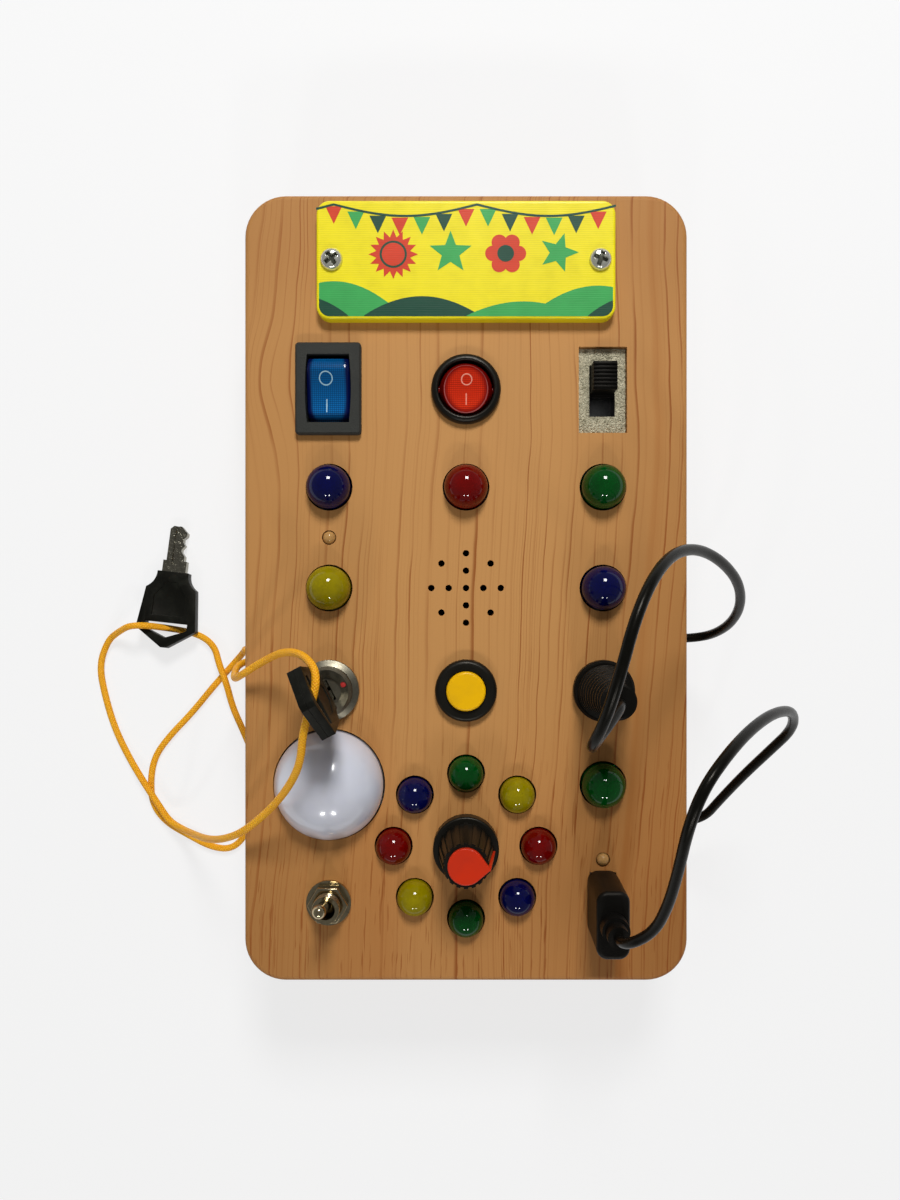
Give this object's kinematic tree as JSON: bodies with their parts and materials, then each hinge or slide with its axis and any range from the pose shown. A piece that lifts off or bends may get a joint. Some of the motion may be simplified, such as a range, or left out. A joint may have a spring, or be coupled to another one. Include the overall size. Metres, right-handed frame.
{
  "type": "wooden busy board",
  "caption": "Wooden toy board with rocker, slide, toggle and push switches, a key lock, a knob, coloured lamps and two cabled plugs, standing on a flat back.",
  "frame": {"origin": "on the surface the board lies on, under the middle of the case", "axes": "+Z out of the face, +Y along the board towards the sign, +X to the right when looking at the face"},
  "size_m": [0.1696, 0.181, 0.0933],
  "materials": {
    "beech": "satin",
    "beech_back": "satin",
    "sign": "satin",
    "steel": "satin",
    "nickel": "polished",
    "brass": "satin",
    "copper": "satin",
    "black_plastic": "matte",
    "black_gloss": "gloss",
    "blue_plastic": "gloss",
    "red_plastic": "gloss",
    "white_plastic": "gloss",
    "grey_plastic": "matte",
    "led_blue": "gloss",
    "led_red": "gloss",
    "led_green": "gloss",
    "led_yellow": "gloss",
    "led_clear": "gloss",
    "rubber": "matte",
    "cord": "satin",
    "pcb": "satin",
    "cell": "gloss",
    "yellow_plastic": "gloss",
    "orange_plastic": "satin",
    "paper": "matte"
  },
  "bodies": {
    "board": {"wood_case": "beech", "back_cover": "beech_back", "back_cover_screws": "steel", "rubber_feet": "rubber", "battery_lid": "sign", "battery_lid_screws": "nickel", "battery_holder": "black_plastic", "battery_cells": "cell", "battery_contacts": "steel", "rocker_housing": "black_plastic", "round_rocker_housing": "black_gloss", "switch_terminals": "brass", "slide_switch_plate": "steel", "slide_switch_body": "steel", "button_housing": "black_gloss", "panel_nuts": "nickel", "button_spring": "steel", "lock_barrel": "nickel", "spare_key_blade": "nickel", "spare_key_bow": "black_plastic", "toggle_body": "nickel", "toggle_washer": "nickel", "toggle_nut": "nickel", "pot_body": "steel", "lamp_dome": "white_plastic", "lamp_base": "white_plastic", "blue_leds": "led_blue", "red_leds": "led_red", "green_leds": "led_green", "yellow_leds": "led_yellow", "clear_leds": "led_clear", "leads_and_wires": "copper", "speaker_frame": "steel", "speaker_cone": "paper", "circuit_board": "pcb", "circuit_components": "grey_plastic", "board_spacers": "white_plastic", "jack_socket": "black_plastic", "usb_socket": "steel", "jack_cable": "rubber", "usb_cable": "rubber", "cable_grommets": "rubber", "cord_eyelet": "nickel", "cord_knot": "cord"},
    "blue_rocker_body": {"blue_rocker": "blue_plastic"},
    "red_rocker_body": {"red_rocker": "red_plastic"},
    "slide_knob_body": {"slide_knob": "black_plastic"},
    "button_cap_body": {"button_cap": "yellow_plastic"},
    "toggle_lever_body": {"toggle_lever": "nickel"},
    "knob": {"pot_shaft": "white_plastic", "knob_body": "black_plastic", "knob_cap": "orange_plastic"},
    "lock_rotor_body": {"lock_rotor": "nickel"},
    "key": {"key_blade": "nickel", "key_bow": "black_plastic"},
    "cord": {"key_cord": "cord"},
    "jack_plug": {"jack_plug_pin": "nickel", "jack_plug_grip": "black_plastic"},
    "usb_plug": {"usb_plug_shell": "nickel", "usb_plug_body": "black_plastic"}
  },
  "joints": [
    {"name": "rocker_tilt", "type": "hinge", "parent": "board", "child": "blue_rocker_body", "pos_m": [-0.0315, 0.0456, 0.033], "axis": [1, 0, 0], "range_deg": [-20, 0]},
    {"name": "round_rocker_tilt", "type": "hinge", "parent": "board", "child": "red_rocker_body", "pos_m": [0, 0.0456, 0.034], "axis": [1, 0, 0], "range_deg": [-20, 0]},
    {"name": "slide_switch", "type": "slide", "parent": "board", "child": "slide_knob_body", "axis": [0, -1, 0], "range_m": [0, 0.005]},
    {"name": "button_press", "type": "slide", "parent": "board", "child": "button_cap_body", "axis": [0, 0, -1], "range_m": [0, 0.0025], "stiffness_N_per_m": 600, "deforming": ["button_spring"]},
    {"name": "toggle_flip", "type": "hinge", "parent": "board", "child": "toggle_lever_body", "pos_m": [-0.0315, -0.0722, 0.037], "axis": [1, 0, 0], "range_deg": [0, 24]},
    {"name": "knob_turn", "type": "hinge", "parent": "board", "child": "knob", "pos_m": [0, -0.0593, 0.0385], "axis": [0, 0, 1], "range_deg": [-53, 247]},
    {"name": "key_turn", "type": "hinge", "parent": "board", "child": "lock_rotor_body", "pos_m": [-0.0315, -0.0235, 0.03], "axis": [0, 0, 1], "range_deg": [0, 67]},
    {"name": "key_pull", "type": "slide", "parent": "lock_rotor_body", "child": "key", "axis": [0, 0, 1], "range_m": [0, 0.01]},
    {"name": "cord_lift", "type": "slide", "parent": "board", "child": "cord", "axis": [0, 0, 1], "range_m": [0, 0.01], "deforming": ["key_cord"]},
    {"name": "jack_pull", "type": "slide", "parent": "board", "child": "jack_plug", "axis": [0, 0, 1], "range_m": [0, 0.014], "deforming": ["jack_cable"]},
    {"name": "usb_pull", "type": "slide", "parent": "board", "child": "usb_plug", "axis": [0, 0, 1], "range_m": [0, 0.012], "deforming": ["usb_cable"]}
  ],
  "couplings": [
    {"joint": "cord_lift", "follows": "key_pull", "ratio": 1}
  ]
}
